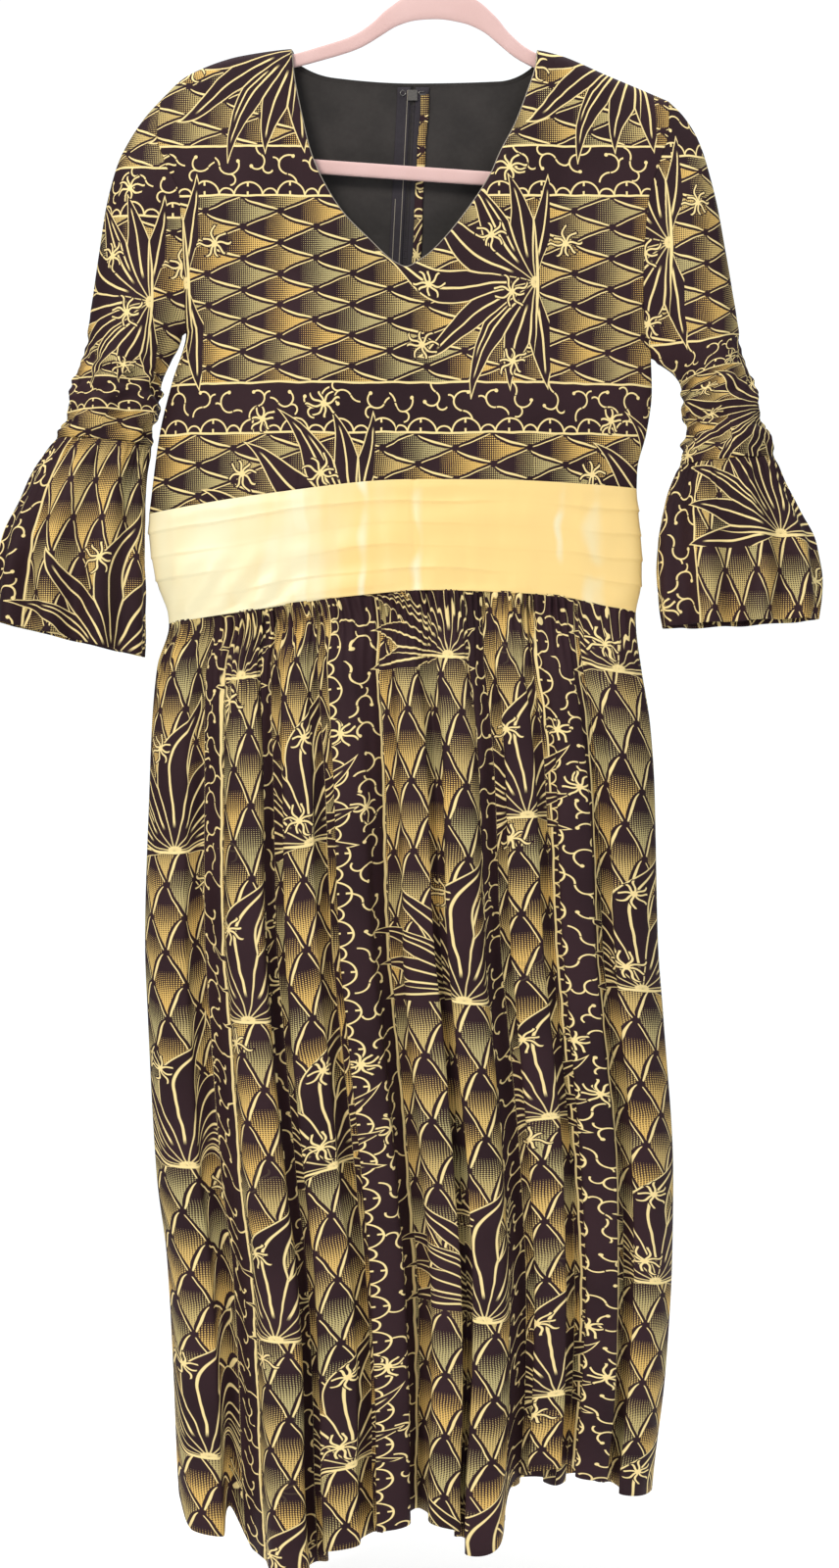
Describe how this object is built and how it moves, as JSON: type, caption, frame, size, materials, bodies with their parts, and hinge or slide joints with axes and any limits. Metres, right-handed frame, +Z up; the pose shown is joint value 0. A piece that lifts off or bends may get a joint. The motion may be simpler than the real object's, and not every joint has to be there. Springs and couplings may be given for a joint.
{
  "type": "ankara wax print dress on a flocked clothes hanger",
  "caption": "Short bell sleeve dress in wax print cotton with a satin waistband and gathered skirt, hanging on a slim flocked hanger.",
  "frame": {"origin": "inside top of the hanger's hook, where a rail carries it", "axes": "+Z up, the dress's front faces -Y, +X is the viewer's right when looking at the front"},
  "size_m": [0.7018, 0.1359, 1.3787],
  "materials": {
    "print_cotton": "wax printed plain weave cotton, dark aubergine brown ground with cream yellow line motifs",
    "waistband_satin": "pale yellow satin with soft horizontal tucks",
    "lining_cloth": "plain charcoal lining",
    "zip_tape": "black woven zip tape and coil",
    "zip_metal": "plated zip metal",
    "hanger_flock": "plastic with a blush pink flocked skin",
    "hook_steel": "polished steel wire"
  },
  "bodies": {
    "dress": {"bodice_front": "print_cotton", "bodice_back_left": "print_cotton", "bodice_back_right": "print_cotton", "skirt_front": "print_cotton", "skirt_back_left": "print_cotton", "skirt_back_right": "print_cotton", "sleeve_left": "print_cotton", "sleeve_right": "print_cotton", "flounce_left": "print_cotton", "flounce_right": "print_cotton", "seam_strip": "print_cotton", "waistband_front": "waistband_satin", "waistband_back_left": "waistband_satin", "waistband_back_right": "waistband_satin", "lining_back_left": "lining_cloth", "lining_back_right": "lining_cloth", "zip_tape_left": "zip_tape", "zip_tape_right": "zip_tape", "zip_chain": "zip_tape", "zip_slider": "zip_metal", "neck_hook": "zip_metal", "neck_eye": "zip_metal", "hanger_shoulders": "hanger_flock", "hanger_bar": "hanger_flock", "hanger_hook": "hook_steel"},
    "pull": {"zip_pull": "zip_metal"}
  },
  "joints": [
    {"name": "pull_hinge", "type": "hinge", "parent": "dress", "child": "pull", "pos_m": [-0.02574, 0.01393, -0.1431], "axis": [1, 0, 0], "range_deg": [0, 160]}
  ]
}
